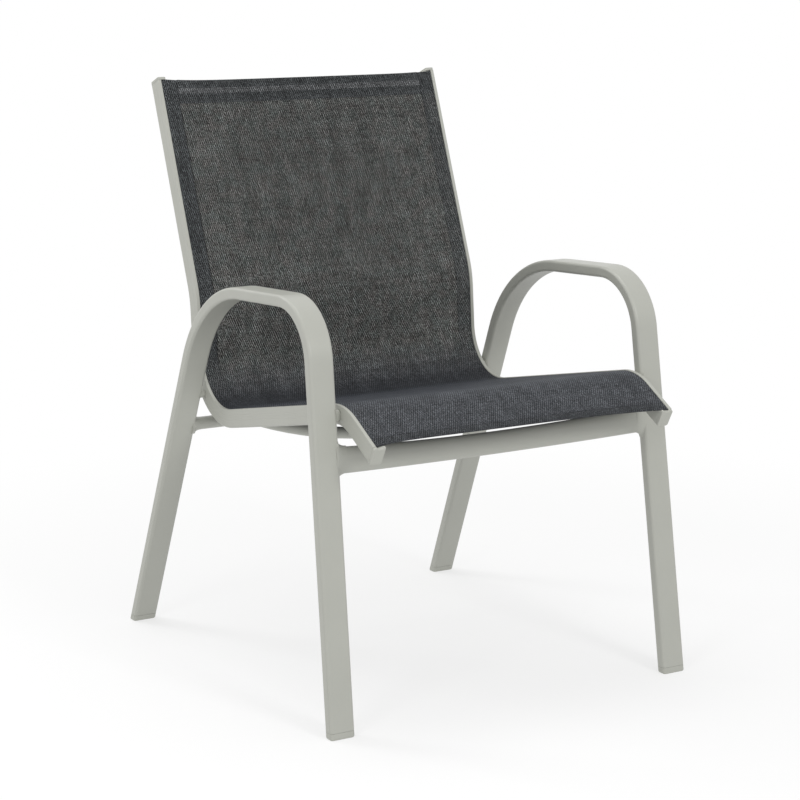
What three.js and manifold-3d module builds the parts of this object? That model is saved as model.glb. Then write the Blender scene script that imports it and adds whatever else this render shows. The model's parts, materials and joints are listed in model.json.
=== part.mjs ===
// Sling patio chair: a welded frame of bent flat tube that carries one sheet of mesh cloth.
//
// Each side frame is one bent tube: front leg, armrest and rear leg. A front and a rear cross rail join
// the two. Between them, on weld spacers, stand two bent sling rails with a channel along their face.
// The cloth is drawn between the rails, and a rod in each of its side hems holds it in the channel.
// A bowed stretcher keeps the rails apart under the seat.
//
// Millimetres, +Z up. The chair faces -Y, and left is -X, as seen from the front. Lengths back are
// measured from the middle of the front feet, and the whole chair is centred over the origin at the end.

import * as THREE from 'three';
import { mergeVertices } from 'three/addons/utils/BufferGeometryUtils.js';
import ManifoldModule from 'manifold-3d';

const wasm = await ManifoldModule();
wasm.setup();

// Side frame: the feet, the two knees where its tube turns, and the lean of its legs inwards
const overallWidth = 600;
const footSpread = 659;
const frontKneeBack = 78.5;
const frontKneeHeight = 587.5;
const rearKneeBack = 406;
const rearKneeHeight = 570.5;
const frontKneeRadius = 85;
const rearKneeRadius = 204;
const splayDegrees = 1.1;

// Flat tube of the side frames
const tubeWidth = 38;
const tubeThickness = 17.5;
const tubeCorner = 6;
const tubeWall = 1.5;

// Foot glides: the rim that shows below the tube, and the plug inside it
const glideHeight = 10;
const glidePlugLength = 22;

// Cross rails between the side frames, and how far each lies below the weld spacers on its legs
const frontRailDrop = 62.7;
const frontRailTall = 34;
const frontRailDeep = 17;
const frontRailCorner = 8;
const rearRailDrop = 51.4;
const rearRailDiameter = 20;
const crossRailWall = 1.5;

// Sling rails: where the seat meets the back, and from there the run to the front and to the top
const creaseBack = 489;
const creaseHeight = 367;
const creaseRadius = 80;
const seatLength = 450;
const seatRiseDegrees = 11.2;
const seatFrontRadius = 90;
const seatFrontLength = 94;
const seatFrontDropDegrees = 29;
const lumbarLength = 175;
const lumbarLeanDegrees = 4;
const lumbarRadius = 150;
const backLength = 341;
const backLeanDegrees = 20.9;

// Section of the sling rails: outer lip, slot, inner lip and the round channel under the slot
const railWidth = 18.5;
const railDepth = 26.5;
const railCorner = 4;
const railWall = 1.6;
const lipWidth = 4;
const lipRound = 1;
const innerLipStep = 1.6;
const slotWidth = 2.8;
const lipThickness = 1.8;
const channelRadius = 4.2;
const channelFloor = 1.6;

// Weld spacers that carry the sling rails on the legs
const spacerThickness = 7.2;
const spacerHeight = 18;
const spacerDepth = 14;
const spacerCorner = 3;

// Caps on the ends of the sling rails
const capThickness = 4.5;
const capEdge = 2;
const capPlugLength = 10;

// Bowed stretcher under the seat
const stretcherDiameter = 18;
const stretcherWall = 1.5;
const stretcherSag = 41;
const stretcherRun = 147;
const stretcherDrop = 18.5;

// Cloth and the rods in its hems
const clothThickness = 1;
const clothSag = 3;
const frontHemBow = 10;
const hemCornerPower = 8;
const topHemBow = 3;
const clothSetback = 1;
const rodRadius = 2.5;

// Air left between pieces that touch or fit, and how finely bends and rounds are faceted
const clearance = 0.3;
const bendStepDegrees = 9;
const cornerFacets = 3;
const lipFacets = 2;
const channelFacets = 9;
const sleeveFacets = 6;
const rodFacets = 8;
const pipeFacets = 20;
const sagFacets = 4;
const edgeFacets = 3;

const SIDES = [{ name: 'left', sign: -1 }, { name: 'right', sign: 1 }];
const ENDS = [{ name: 'front', sign: -1 }, { name: 'top', sign: 1 }];
const ACROSS = new THREE.Vector3(1, 0, 0);
const UP = new THREE.Vector3(0, 0, 1);
const quarterTurn = Math.PI / 2;
const radians = THREE.MathUtils.degToRad;

// Outlines

/** Points of an arc about (x, y), from one angle to another, both ends included. */
function arcPoints(x, y, radius, fromAngle, toAngle, facets) {
  const points = [];
  for (let i = 0; i <= facets; i++) {
    const angle = fromAngle + ((toAngle - fromAngle) * i) / facets;
    points.push(new THREE.Vector2(x + radius * Math.cos(angle), y + radius * Math.sin(angle)));
  }
  return points;
}

/** A rectangle with round corners, drawn in on all sides by the inset, and centred on (x, y). */
function roundedRectangle(width, height, radius, { inset = 0, x = 0, y = 0 } = {}) {
  const points = [];
  for (let quarter = 0; quarter < 4; quarter++) {
    const signX = quarter === 0 || quarter === 3 ? 1 : -1;
    const signY = quarter < 2 ? 1 : -1;
    const cornerX = x + signX * (width / 2 - radius);
    const cornerY = y + signY * (height / 2 - radius);
    const start = quarter * quarterTurn;
    points.push(...arcPoints(cornerX, cornerY, radius - inset, start, start + quarterTurn, cornerFacets));
  }
  return points;
}

/** A circle about (x, y). */
function circle(radius, facets, x = 0, y = 0) {
  return arcPoints(x, y, radius, 0, 2 * Math.PI, facets).slice(0, facets);
}

function shapeWithHoles(outline, ...holes) {
  const shape = new THREE.Shape(outline);
  shape.holes = holes.map((hole) => new THREE.Path(hole));
  return shape;
}

function pipeShape(diameter, wall) {
  return shapeWithHoles(circle(diameter / 2, pipeFacets), circle(diameter / 2 - wall, pipeFacets));
}

/** An outline as it is for the right side of the chair, or mirrored for the left. */
function turnedX(points, sign) {
  return points.map((point) => new THREE.Vector2(sign * point.x, point.y));
}

// Paths and sweeps

/** Straight runs joined by round bends. It has a station at each end of a run and along each bend. */
class BentPath extends THREE.Curve {
  constructor(corners, radii = []) {
    super();
    const last = corners.length - 1;
    const runs = corners.slice(1).map((corner, i) => corner.clone().sub(corners[i]).normalize());
    this.stations = [{ point: corners[0].clone(), tangent: runs[0] }];
    for (let i = 1; i < last; i++) this.addBend(corners[i], runs[i - 1], runs[i], radii[i - 1]);
    this.stations.push({ point: corners[last].clone(), tangent: runs[last - 1] });
  }

  addBend(corner, arriving, leaving, radius) {
    const turn = arriving.angleTo(leaving);
    const axis = new THREE.Vector3().crossVectors(arriving, leaving).normalize();
    const start = corner.clone().addScaledVector(arriving, -radius * Math.tan(turn / 2));
    const centre = start.clone().addScaledVector(axis.clone().cross(arriving), radius);
    const spoke = start.clone().sub(centre);
    const facets = Math.ceil(turn / radians(bendStepDegrees));
    for (let i = 0; i <= facets; i++) {
      const angle = (turn * i) / facets;
      const point = spoke.clone().applyAxisAngle(axis, angle).add(centre);
      this.stations.push({ point, tangent: arriving.clone().applyAxisAngle(axis, angle) });
    }
  }

  get steps() {
    return this.stations.length - 1;
  }

  get start() {
    return this.stations[0];
  }

  get end() {
    return this.stations[this.steps];
  }

  stationAt(share) {
    return this.stations[Math.round(share * this.steps)];
  }

  getPointAt(share, target = new THREE.Vector3()) {
    return target.copy(this.stationAt(share).point);
  }

  getTangentAt(share, target = new THREE.Vector3()) {
    return target.copy(this.stationAt(share).tangent);
  }

  /** The same path with its two ends drawn in. */
  shortened(setback) {
    const copy = new BentPath([this.start.point, this.end.point]);
    copy.stations = this.stations.map(({ point, tangent }) => ({ point: point.clone(), tangent }));
    copy.start.point.addScaledVector(copy.start.tangent, setback);
    copy.end.point.addScaledVector(copy.end.tangent, -setback);
    return copy;
  }

  /** The same path, moved across the chair and down into the rail from its face. */
  shifted(across, depth) {
    const copy = this.shortened(0);
    copy.stations.forEach((station) => station.point.addScaledVector(faceNormal(station.tangent), -depth));
    copy.stations.forEach((station) => station.point.addScaledVector(ACROSS, across));
    return copy;
  }
}

/** The way that a rail's face looks, towards the sitter, where the rail runs along this tangent. */
function faceNormal(tangent) {
  return new THREE.Vector3().crossVectors(ACROSS, tangent);
}

function sweep(shape, path) {
  return new THREE.ExtrudeGeometry(shape, { extrudePath: path, steps: path.steps, curveSegments: 1 });
}

/** Moves each vertex of a geometry by a function that gives it its new place. */
function moveVertices(geometry, place) {
  const positions = geometry.getAttribute('position');
  const vertex = new THREE.Vector3();
  for (let i = 0; i < positions.count; i++) {
    vertex.fromBufferAttribute(positions, i);
    place(vertex);
    positions.setXYZ(i, vertex.x, vertex.y, vertex.z);
  }
  return geometry;
}

/** Whether a vertex of a swept geometry lies on the square end of its path at this station. */
function onEnd(vertex, station) {
  const offset = vertex.clone().sub(station.point);
  return Math.abs(offset.dot(station.tangent)) < clearance / 10 && offset.length() < overallWidth;
}

/** Slides the vertices of a swept tube's square end along the tube, until they lie in the plane. */
function mitre(geometry, station, plane) {
  return moveVertices(geometry, (vertex) => {
    if (!onEnd(vertex, station)) return;
    const travel = -plane.distanceToPoint(vertex) / plane.normal.dot(station.tangent);
    vertex.addScaledVector(station.tangent, travel);
  });
}

// Solids that are joined or cut

function toSolid(geometry) {
  const bare = geometry.clone();
  bare.deleteAttribute('normal');
  bare.deleteAttribute('uv');
  const merged = mergeVertices(bare);
  const vertProperties = new Float32Array(merged.getAttribute('position').array);
  const triVerts = new Uint32Array(merged.getIndex().array);
  return new wasm.Manifold(new wasm.Mesh({ numProp: 3, vertProperties, triVerts }));
}

function toGeometry(solid) {
  const mesh = solid.getMesh();
  const geometry = new THREE.BufferGeometry();
  geometry.setAttribute('position', new THREE.BufferAttribute(mesh.vertProperties, 3));
  geometry.setIndex(new THREE.BufferAttribute(mesh.triVerts, 1));
  geometry.computeVertexNormals();
  return geometry;
}

// Finishes
const framePaint = { color: 0xb2b3ac, roughness: 0.45, metalness: 0.1 };
const moulding = { color: 0xabaca5, roughness: 0.55, metalness: 0 };
const meshCloth = { color: 0x3e4045, roughness: 0.9, metalness: 0 };
const rodPlastic = { color: 0x2a2b2d, roughness: 0.5, metalness: 0 };

const chair = new THREE.Group();

function addPiece(name, geometry, finish) {
  const mesh = new THREE.Mesh(geometry, new THREE.MeshStandardMaterial(finish));
  mesh.name = name;
  chair.add(mesh);
}

// Side frames

/** A place on the chair's middle plane, by its distance back and its height. */
const at = (back, height) => new THREE.Vector3(0, back, height);

/** A direction on that plane that leans from upright towards the back by this angle. */
const leaning = (angle) => at(Math.sin(angle), Math.cos(angle));

const footMiddle = overallWidth / 2 - tubeWidth / 2;
const splay = Math.tan(radians(splayDegrees));
const frontFoot = at(0, 0);
const rearFoot = at(footSpread, 0);
const frontKnee = at(frontKneeBack, frontKneeHeight);
const rearKnee = at(rearKneeBack, rearKneeHeight);

/** The point of the run from a foot to a knee at this height. */
function onRun(foot, knee, height) {
  return foot.clone().lerp(knee, (height - foot.z) / (knee.z - foot.z));
}

/** Half the width between the inner faces of the legs at this height. */
function legInner(height) {
  return overallWidth / 2 - tubeWidth - height * splay;
}

/** The inner face of a side frame's legs as a plane that looks at the middle, moved in by a gap. */
function legInnerPlane(side, gap) {
  const normal = new THREE.Vector3(-side.sign, 0, -splay).normalize();
  const place = new THREE.Vector3(side.sign * legInner(0), 0, 0).addScaledVector(normal, gap);
  return new THREE.Plane().setFromNormalAndCoplanarPoint(normal, place);
}

/** Leans a geometry made on the middle plane and puts it on its side of the chair. */
function stoodOutwards(geometry, side) {
  return moveVertices(geometry, (vertex) => {
    vertex.x += side.sign * (footMiddle - vertex.z * splay);
  });
}

const level = (height) => new THREE.Plane(UP, -height);

const framePath = new BentPath(
  [onRun(frontFoot, frontKnee, glideHeight), frontKnee, rearKnee, onRun(rearFoot, rearKnee, glideHeight)],
  [frontKneeRadius, rearKneeRadius],
);
const tubeSection = (inset) => roundedRectangle(tubeWidth, tubeThickness, tubeCorner, { inset });

function sideFrame() {
  const tube = sweep(shapeWithHoles(tubeSection(0), tubeSection(tubeWall)), framePath);
  mitre(tube, framePath.start, level(glideHeight));
  return mitre(tube, framePath.end, level(glideHeight));
}

// Foot glides

function footGlide(foot, knee) {
  const rimTop = glideHeight - clearance;
  const rimPath = new BentPath([onRun(foot, knee, 0), onRun(foot, knee, rimTop)]);
  const rim = sweep(new THREE.Shape(tubeSection(0)), rimPath);
  mitre(rim, rimPath.end, level(rimTop));
  mitre(rim, rimPath.start, level(0));
  const plugTop = glideHeight + glidePlugLength;
  const plugPath = new BentPath([onRun(foot, knee, glideHeight / 2), onRun(foot, knee, plugTop)]);
  const plug = sweep(new THREE.Shape(tubeSection(tubeWall + clearance)), plugPath);
  return toGeometry(toSolid(rim).add(toSolid(plug)));
}

for (const side of SIDES) {
  addPiece(`side_frame_${side.name}`, stoodOutwards(sideFrame(), side), framePaint);
  addPiece(`foot_glide_front_${side.name}`, stoodOutwards(footGlide(frontFoot, frontKnee), side), moulding);
  addPiece(`foot_glide_rear_${side.name}`, stoodOutwards(footGlide(rearFoot, rearKnee), side), moulding);
}

// Sling rails: the path is the line of the face, from the front to the top

const crease = at(creaseBack, creaseHeight);
const seatForward = leaning(radians(seatRiseDegrees) - quarterTurn);
const frontForward = leaning(-radians(seatFrontDropDegrees) - quarterTurn);
const seatFront = crease.clone().addScaledVector(seatForward, seatLength);
const railFront = seatFront.clone().addScaledVector(frontForward, seatFrontLength);
const lumbar = crease.clone().addScaledVector(leaning(radians(lumbarLeanDegrees)), lumbarLength);
const railTop = lumbar.clone().addScaledVector(leaning(radians(backLeanDegrees)), backLength);
const facePath = new BentPath(
  [railFront, seatFront, crease, lumbar, railTop],
  [seatFrontRadius, creaseRadius, lumbarRadius],
);

/** Where a path crosses the straight run of a leg, seen from the side. */
function crossing(path, foot, knee) {
  const legNormal = new THREE.Vector3().crossVectors(ACROSS, knee.clone().sub(foot)).normalize();
  const leg = new THREE.Plane().setFromNormalAndCoplanarPoint(legNormal, foot);
  const points = path.stations.map((station) => station.point);
  const next = points.findIndex((point, i) => {
    return i > 0 && leg.distanceToPoint(points[i - 1]) * leg.distanceToPoint(point) <= 0;
  });
  return leg.intersectLine(new THREE.Line3(points[next - 1], points[next]), new THREE.Vector3());
}

const railMiddle = facePath.shifted(0, railDepth / 2);
const spacerPlaces = {
  front: crossing(railMiddle, frontFoot, frontKnee),
  rear: crossing(railMiddle, rearFoot, rearKnee),
};
const railOuter = legInner(spacerPlaces.front.z) - spacerThickness;
const railInner = railOuter - railWidth;
const slotMiddle = lipWidth + slotWidth / 2;
const channelDepth = innerLipStep + lipThickness + Math.sqrt(channelRadius ** 2 - (slotWidth / 2) ** 2);
const chamberTop = channelDepth + channelRadius + channelFloor;

/** The rail's section: x runs inwards from its outer face, y out of its face. */
function railOutline() {
  const slotAngle = Math.asin(slotWidth / 2 / channelRadius);
  const innerLip = lipWidth + slotWidth + lipRound;
  const innerLipTop = -innerLipStep - lipRound;
  const bottom = -railDepth + railCorner;
  const half = 2 * quarterTurn;
  return [
    ...arcPoints(lipRound, -lipRound, lipRound, half, quarterTurn, lipFacets),
    ...arcPoints(lipWidth - lipRound, -lipRound, lipRound, quarterTurn, 0, lipFacets),
    ...arcPoints(
      slotMiddle, -channelDepth, channelRadius,
      quarterTurn + slotAngle, quarterTurn + 2 * half - slotAngle, channelFacets,
    ),
    ...arcPoints(innerLip, innerLipTop, lipRound, half, quarterTurn, lipFacets),
    ...arcPoints(railWidth - lipRound, innerLipTop, lipRound, quarterTurn, 0, lipFacets),
    ...arcPoints(railWidth - railCorner, bottom, railCorner, 0, -quarterTurn, cornerFacets),
    ...arcPoints(railCorner, bottom, railCorner, -quarterTurn, -half, cornerFacets),
  ];
}

/** The lower chamber of the rail's section, or the plug that fits it with an inset. */
function chamberOutline(inset) {
  const tall = railDepth - railWall - chamberTop;
  const middle = { x: railWidth / 2, y: -chamberTop - tall / 2 };
  return roundedRectangle(railWidth - 2 * railWall, tall, railCorner - railWall, { inset, ...middle });
}

function slingRail(side) {
  const [outline, chamber] = [railOutline(), chamberOutline(0)].map((points) => turnedX(points, side.sign));
  return sweep(shapeWithHoles(outline, chamber), facePath.shifted(side.sign * railOuter, 0));
}

// Rail caps: a plate with an eased edge over the rail's end, and a plug in its lower chamber

function railCap(side, end) {
  const flip = side.sign * end.sign;
  const block = (outline, options) => {
    const shape = new THREE.Shape(turnedX(outline, flip));
    return new THREE.ExtrudeGeometry(shape, { curveSegments: 1, ...options });
  };
  const middle = { x: railWidth / 2, y: -railDepth / 2 };
  const plate = block(roundedRectangle(railWidth, railDepth, railCorner, { inset: capEdge, ...middle }), {
    depth: capThickness - capEdge,
    bevelThickness: capEdge,
    bevelSize: capEdge,
    bevelSegments: edgeFacets,
  });
  const behind = block(roundedRectangle(2 * railWidth, 2 * railDepth, railCorner, middle), {
    depth: 2 * capEdge,
    bevelEnabled: false,
  }).translate(0, 0, clearance - 2 * capEdge);
  const plug = block(chamberOutline(clearance), {
    depth: capPlugLength + capThickness / 2,
    bevelEnabled: false,
  }).translate(0, 0, -capPlugLength);
  const cap = toGeometry(toSolid(plate).subtract(toSolid(behind)).add(toSolid(plug)));
  const station = end.sign > 0 ? facePath.end : facePath.start;
  const turn = new THREE.Matrix4().makeBasis(
    ACROSS.clone().multiplyScalar(-end.sign),
    faceNormal(station.tangent),
    station.tangent.clone().multiplyScalar(end.sign),
  );
  return cap.applyMatrix4(turn.setPosition(side.sign * railOuter, station.point.y, station.point.z));
}

// Weld spacers between the sling rails and the legs

function weldSpacer(side, place) {
  const inner = place.clone().setX(side.sign * (railOuter + clearance));
  const outer = place.clone().setX(side.sign * (legInner(place.z) - clearance));
  const path = new BentPath([inner, outer]);
  const shape = new THREE.Shape(roundedRectangle(spacerHeight, spacerDepth, spacerCorner));
  return mitre(sweep(shape, path), path.end, legInnerPlane(side, clearance));
}

// Hem rods, which lie in the channels of the sling rails
const clothPath = facePath.shortened(clothSetback);
const slotCentre = railOuter - slotMiddle;

function hemRod(side) {
  const shape = new THREE.Shape(circle(rodRadius, rodFacets));
  return sweep(shape, clothPath.shifted(side.sign * slotCentre, channelDepth));
}

for (const side of SIDES) {
  addPiece(`sling_rail_${side.name}`, slingRail(side), framePaint);
  addPiece(`hem_rod_${side.name}`, hemRod(side), rodPlastic);
  for (const end of ENDS) addPiece(`rail_${end.name}_cap_${side.name}`, railCap(side, end), moulding);
  for (const [name, place] of Object.entries(spacerPlaces)) {
    addPiece(`weld_spacer_${name}_${side.name}`, weldSpacer(side, place), framePaint);
  }
}

// Cross rails, cut to the lean of the legs

function crossRail(shape, place) {
  const [leftEnd, rightEnd] = SIDES.map((side) => place.clone().setX(side.sign * legInner(place.z)));
  const [leftFace, rightFace] = SIDES.map((side) => legInnerPlane(side, clearance));
  const path = new BentPath([leftEnd, rightEnd]);
  const rail = sweep(shape, path);
  mitre(rail, path.start, leftFace);
  return mitre(rail, path.end, rightFace);
}

const frontRailSection = (inset) => {
  return roundedRectangle(frontRailTall, frontRailDeep, frontRailCorner, { inset });
};
const frontRailShape = shapeWithHoles(frontRailSection(0), frontRailSection(crossRailWall));
const rearRailShape = pipeShape(rearRailDiameter, crossRailWall);
const frontRailPlace = onRun(frontFoot, frontKnee, spacerPlaces.front.z - frontRailDrop);
const rearRailPlace = onRun(rearFoot, rearKnee, spacerPlaces.rear.z - rearRailDrop);
addPiece('front_cross_rail', crossRail(frontRailShape, frontRailPlace), framePaint);
addPiece('rear_cross_rail', crossRail(rearRailShape, rearRailPlace), framePaint);

// Bowed stretcher between the inner faces of the sling rails

function bowedStretcher() {
  const halfSpan = railInner - clearance;
  const radius = (halfSpan ** 2 + stretcherSag ** 2) / (2 * stretcherSag);
  const slope = Math.asin(halfSpan / radius);
  const place = crease.clone().addScaledVector(seatForward, stretcherRun);
  place.addScaledVector(faceNormal(seatForward), stretcherDrop);
  const [left, right] = SIDES.map((side) => place.clone().setX(side.sign * halfSpan));
  const corner = place.clone().setZ(place.z - halfSpan * Math.tan(slope));
  const path = new BentPath([left, corner, right], [radius]);
  path.stations = path.stations.slice(1, -1);
  const pipe = sweep(pipeShape(stretcherDiameter, stretcherWall), path);
  mitre(pipe, path.start, new THREE.Plane(ACROSS, halfSpan));
  return mitre(pipe, path.end, new THREE.Plane(ACROSS, -halfSpan));
}
addPiece('seat_stretcher', bowedStretcher(), framePaint);

// Sling: one sheet over both inner lips, doubled down the slots and closed round the hem rods

/** The right half of the cloth's section, from the middle of its face round to the middle of its back. */
function clothHalfOutline() {
  const under = clearance - innerLipStep;
  const over = under + clothThickness;
  const sleeve = rodRadius + clearance + clothThickness;
  const slotAngle = Math.asin(clothThickness / sleeve);
  const sagShares = Array.from({ length: sagFacets + 1 }, (_, i) => i / sagFacets);
  const sagPoints = (height) => sagShares.map((share) => {
    return new THREE.Vector2(share * railInner, height - clothSag * (1 - share ** 2));
  });
  const [fromAngle, toAngle] = [quarterTurn - slotAngle, slotAngle - 3 * quarterTurn];
  return [
    ...sagPoints(over),
    new THREE.Vector2(slotCentre + clothThickness, over),
    ...arcPoints(slotCentre, -channelDepth, sleeve, fromAngle, toAngle, sleeveFacets),
    new THREE.Vector2(slotCentre - clothThickness, under),
    ...sagPoints(under).reverse(),
  ];
}

function sling() {
  const half = clothHalfOutline();
  const otherHalf = turnedX(half.slice(1, -1), -1).reverse();
  const rodHoles = SIDES.map((side) => {
    return circle(rodRadius + clearance, rodFacets, side.sign * slotCentre, -channelDepth);
  });
  const geometry = sweep(shapeWithHoles([...half, ...otherHalf], ...rodHoles), clothPath);
  // The hems at the front and the top bow in along the cloth, and are drawn flat across it
  const drawIn = (station, depth) => moveVertices(geometry, (vertex) => {
    if (!onEnd(vertex, station)) return;
    const bow = Math.max(0, 1 - (vertex.x / slotCentre) ** hemCornerPower);
    const sag = Math.max(0, 1 - (vertex.x / railInner) ** 2);
    vertex.addScaledVector(station.tangent, depth * bow);
    vertex.addScaledVector(faceNormal(station.tangent), clothSag * sag);
  });
  drawIn(clothPath.start, frontHemBow);
  drawIn(clothPath.end, -topHemBow);
  return geometry;
}
addPiece('sling', sling(), meshCloth);

// The origin is on the ground, under the middle of the whole chair
const extent = new THREE.Box3().setFromObject(chair);
chair.position.set(0, -(extent.min.y + extent.max.y) / 2, 0);

export default chair;
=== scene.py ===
"""Sling patio chair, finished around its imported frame.

A painted frame of bent flat tube carries two rails, and one sheet of mesh cloth is stretched between them.
Metres, +Z up. The chair faces -Y, and left is -X, as seen from the front.
"""

import json
import math

import bmesh
import bpy
from bmesh.types import BMEdge, BMVert
from mathutils import Matrix, Vector, noise


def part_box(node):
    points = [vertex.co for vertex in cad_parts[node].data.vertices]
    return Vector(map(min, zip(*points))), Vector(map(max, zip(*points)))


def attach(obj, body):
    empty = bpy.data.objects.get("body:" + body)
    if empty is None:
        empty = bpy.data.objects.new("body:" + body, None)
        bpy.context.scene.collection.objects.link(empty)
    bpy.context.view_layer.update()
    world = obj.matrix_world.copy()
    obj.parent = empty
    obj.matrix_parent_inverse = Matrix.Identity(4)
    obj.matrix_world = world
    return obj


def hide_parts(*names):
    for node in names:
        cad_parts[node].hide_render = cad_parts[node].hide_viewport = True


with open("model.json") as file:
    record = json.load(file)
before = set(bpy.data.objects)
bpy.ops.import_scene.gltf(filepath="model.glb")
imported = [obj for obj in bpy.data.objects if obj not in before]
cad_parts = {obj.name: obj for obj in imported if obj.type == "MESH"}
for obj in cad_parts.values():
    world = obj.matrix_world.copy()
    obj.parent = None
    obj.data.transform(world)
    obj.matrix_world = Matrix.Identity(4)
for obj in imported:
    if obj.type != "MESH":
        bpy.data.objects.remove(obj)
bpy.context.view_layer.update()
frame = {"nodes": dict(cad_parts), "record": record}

ACROSS = Vector((1, 0, 0))
BACK = Vector((0, 1, 0))
UP = Vector((0, 0, 1))
SIDES = {"left": -1, "right": 1}
QUARTER_TURN = math.pi / 2

# How finely shapes are drawn. Points closer than touching are one.
bend_step = math.radians(2.5)
hem_bend_step = math.radians(8)
corner_steps = 6
pipe_sides = 40
front_rail_steps = 24
fold_steps = 6
cloth_step_across = 0.011
cloth_step_along = 0.009
near_slot_step = 0.003
near_slot_count = 9
touching = 1e-6

# Flat tube of the side frames, from the feet to the two knees where it turns
tube_width = 0.038
tube_thickness = 0.0175
tube_corner = 0.0045
tube_wall = 0.0015
splay = math.tan(math.radians(1.1))
front_knee_offset = Vector((0, 0.0785, 0.5875))
rear_knee_offset = Vector((0, -0.253, 0.5705))
front_knee_radius = 0.085
rear_knee_radius = 0.204

# Foot glides
glide_height = 0.010
glide_seam = 0.0003
glide_plug = 0.022
glide_bottom_round = 0.0028
glide_top_round = 0.0004

# Cross rails: the front one is a flat oval, bowed down slightly between its raised ends
front_rail_tall = 0.033
front_rail_deep = 0.017
front_rail_bow = 0.003
front_rail_raise = 0.001
front_rail_rise = 0.006
front_rail_tilt = 0.0045
rear_rail_diameter = 0.0195
rear_rail_lower = 0.002

# Line of the sling rails' face, from the middle of the front feet
crease_offset = Vector((0, 0.489, 0.367))
crease_radius = 0.080
seat_length = 0.450
seat_rise = math.radians(11.2)
seat_front_radius = 0.090
seat_front_length = 0.094
seat_front_drop = math.radians(29)
lumbar_length = 0.175
lumbar_lean = math.radians(4)
lumbar_radius = 0.150
back_length = 0.3422
back_lean = math.radians(20.9)

# Section of the sling rails: outer lip, slot, inner lip and the channel under the slot
rail_width = 0.0185
rail_depth = 0.0282
rail_corner = 0.0035
lip_width = 0.0053
lip_round = 0.001
inner_lip_step = 0.0024
lip_thickness = 0.0010
slot_width = 0.0018
slot_edge = 0.0003
channel_radius = 0.0042
channel_corner = 0.0032
groove_depth = 0.00025
groove_half_width = 0.0009
groove_heights = (-0.0095, -0.0168)

# Caps on the ends of the sling rails
top_cap_width = 0.0138
cap_thickness = 0.0045
cap_round = 0.0010
cap_seam = 0.0003
cap_scoop = 0.0022
cap_horn = 0.0048
cap_horn_tip = 0.0026

# Weld spacers and stretcher
spacer_height = {"front": 0.016, "rear": 0.010}
spacer_lower = {"front": 0.0, "rear": 0.0035}
spacer_depth = 0.012
spacer_corner = 0.003
stretcher_diameter = 0.018
stretcher_sag = 0.041
stretcher_run = 0.147
stretcher_drop = 0.0185

# Cloth, its hems and its stitches
cloth_thickness = 0.0006
seat_sag = 0.001
back_sag = 0.003
cloth_setback = 0.001
cloth_ripple = 0.0006
ripple_length = 0.13
front_bow = 0.0069
front_bow_powers = {-1: 10, 1: 3}
top_bow = 0.003
top_bow_power = 8
top_left_rise = 0.0022
top_left_power = 4
bow_reach = 0.070
main_depth = 0.0013
layer_gap = 0.0007
rod_radius = 0.0025
side_hem = 0.025
top_hem = 0.038
top_hem_fold = 0.013
top_hem_stripe = 0.0092
front_hem = 0.014
fold_radius = 0.00045
flap_inset = 0.002
stitch_length = 0.0027
stitch_pitch = 0.0036
stitch_width = 0.0007
stitch_inset = 0.002
stitch_row_end = 0.004


# Places on the chair

feet = {mount["name"]: Vector(mount["pos_m"]) for mount in frame["record"]["mounts"]}
foot_middle = feet["glide_front_right"].x
front_foot = feet["glide_front_right"] - ACROSS * foot_middle
rear_foot = feet["glide_rear_right"] - ACROSS * foot_middle
front_knee = front_foot + front_knee_offset
rear_knee = rear_foot + rear_knee_offset


def middle_of(node):
    """The middle of a node's box."""
    low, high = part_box(node)
    return (low + high) / 2


def leaning(angle):
    """A direction on the middle plane that leans from upright towards the back by this angle."""
    return BACK * math.sin(angle) + UP * math.cos(angle)


def on_run(foot, knee, height):
    """The point of the run from a foot to a knee at this height."""
    return foot.lerp(knee, (height - foot.z) / (knee.z - foot.z))


def leg_inner(height):
    """Half the width between the inner faces of the legs at this height."""
    return foot_middle - tube_width / 2 - height * splay


def face_normal(tangent):
    """The way that a rail's face looks where the rail runs along this tangent."""
    return ACROSS.cross(tangent)


# Bent lines, which place the cloth and draw the tubes

def verts_of(rim):
    return list({v for e in rim for v in e.verts})


def only(kind, parts):
    return [part for part in parts if isinstance(part, kind)]


def drawn_on(bm, rim, travel):
    """Draws a rim of edges straight on, and returns the rim at the new end."""
    made = bmesh.ops.extrude_edge_only(bm, edges=rim)["geom"]
    bmesh.ops.translate(bm, verts=only(BMVert, made), vec=travel)
    return only(BMEdge, made)


class Run:
    """A straight stretch of a line."""

    def __init__(self, start, direction, length):
        self.start, self.direction, self.length = start, direction, length

    def at(self, distance):
        return self.start + self.direction * distance, self.direction

    def marks(self, run_step):
        count = max(1, math.ceil(self.length / run_step))
        return [self.length * i / count for i in range(count)]

    def draw(self, bm, rim):
        return drawn_on(bm, rim, self.direction * self.length)


class Bend:
    """A round stretch of a line, drawn in steps of at most this turn, and in at least this many."""

    def __init__(self, start, arriving, leaving, radius, step=bend_step, least_steps=1):
        self.start, self.arriving, self.radius = start, arriving, radius
        self.axis = arriving.cross(leaving).normalized()
        self.turn = arriving.angle(leaving)
        self.steps = max(least_steps, math.ceil(self.turn / step))
        self.centre = start + self.axis.cross(arriving) * radius
        self.length = radius * self.turn

    def at(self, distance):
        turned = Matrix.Rotation(distance / self.radius, 3, self.axis)
        return self.centre + turned @ (self.start - self.centre), turned @ self.arriving

    def marks(self, _run_step):
        """Its own steps, whatever the step of the straight runs is."""
        return [self.length * i / self.steps for i in range(self.steps)]

    def draw(self, bm, rim):
        last = bmesh.ops.spin(
            bm, geom=rim + verts_of(rim), cent=self.centre, axis=self.axis, angle=self.turn,
            steps=self.steps, use_duplicate=False,
        )["geom_last"]
        return only(BMEdge, last)


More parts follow.
